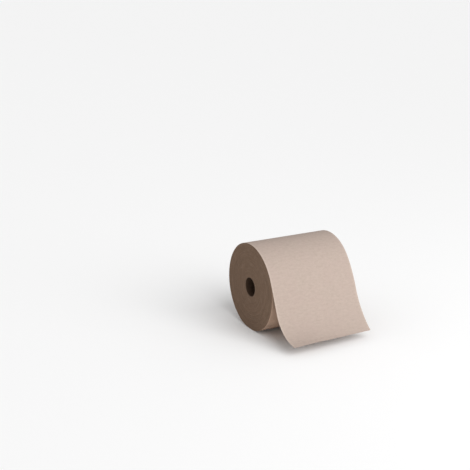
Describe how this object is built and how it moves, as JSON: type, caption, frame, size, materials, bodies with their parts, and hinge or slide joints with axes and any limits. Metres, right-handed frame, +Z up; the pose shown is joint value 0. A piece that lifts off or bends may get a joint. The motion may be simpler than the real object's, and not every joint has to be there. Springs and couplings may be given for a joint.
{
  "type": "paper towel roll",
  "caption": "Hardwound roll of brown paper towel on a paperboard core, lying on its side with its free end drawn out.",
  "frame": {"origin": "middle of the flat spot that the roll lies on, below the middle of the core's axis", "axes": "+X along the core's axis, -Y towards the side on which the free end leaves the roll, +Z up"},
  "size_m": [0.2, 0.287, 0.1926],
  "materials": {
    "core_board": "matt unbleached paperboard, spiral wound",
    "towel_paper": "matt unbleached creped paper"
  },
  "bodies": {
    "root": {"core": "core_board", "towel_roll": "towel_paper"}
  },
  "joints": []
}
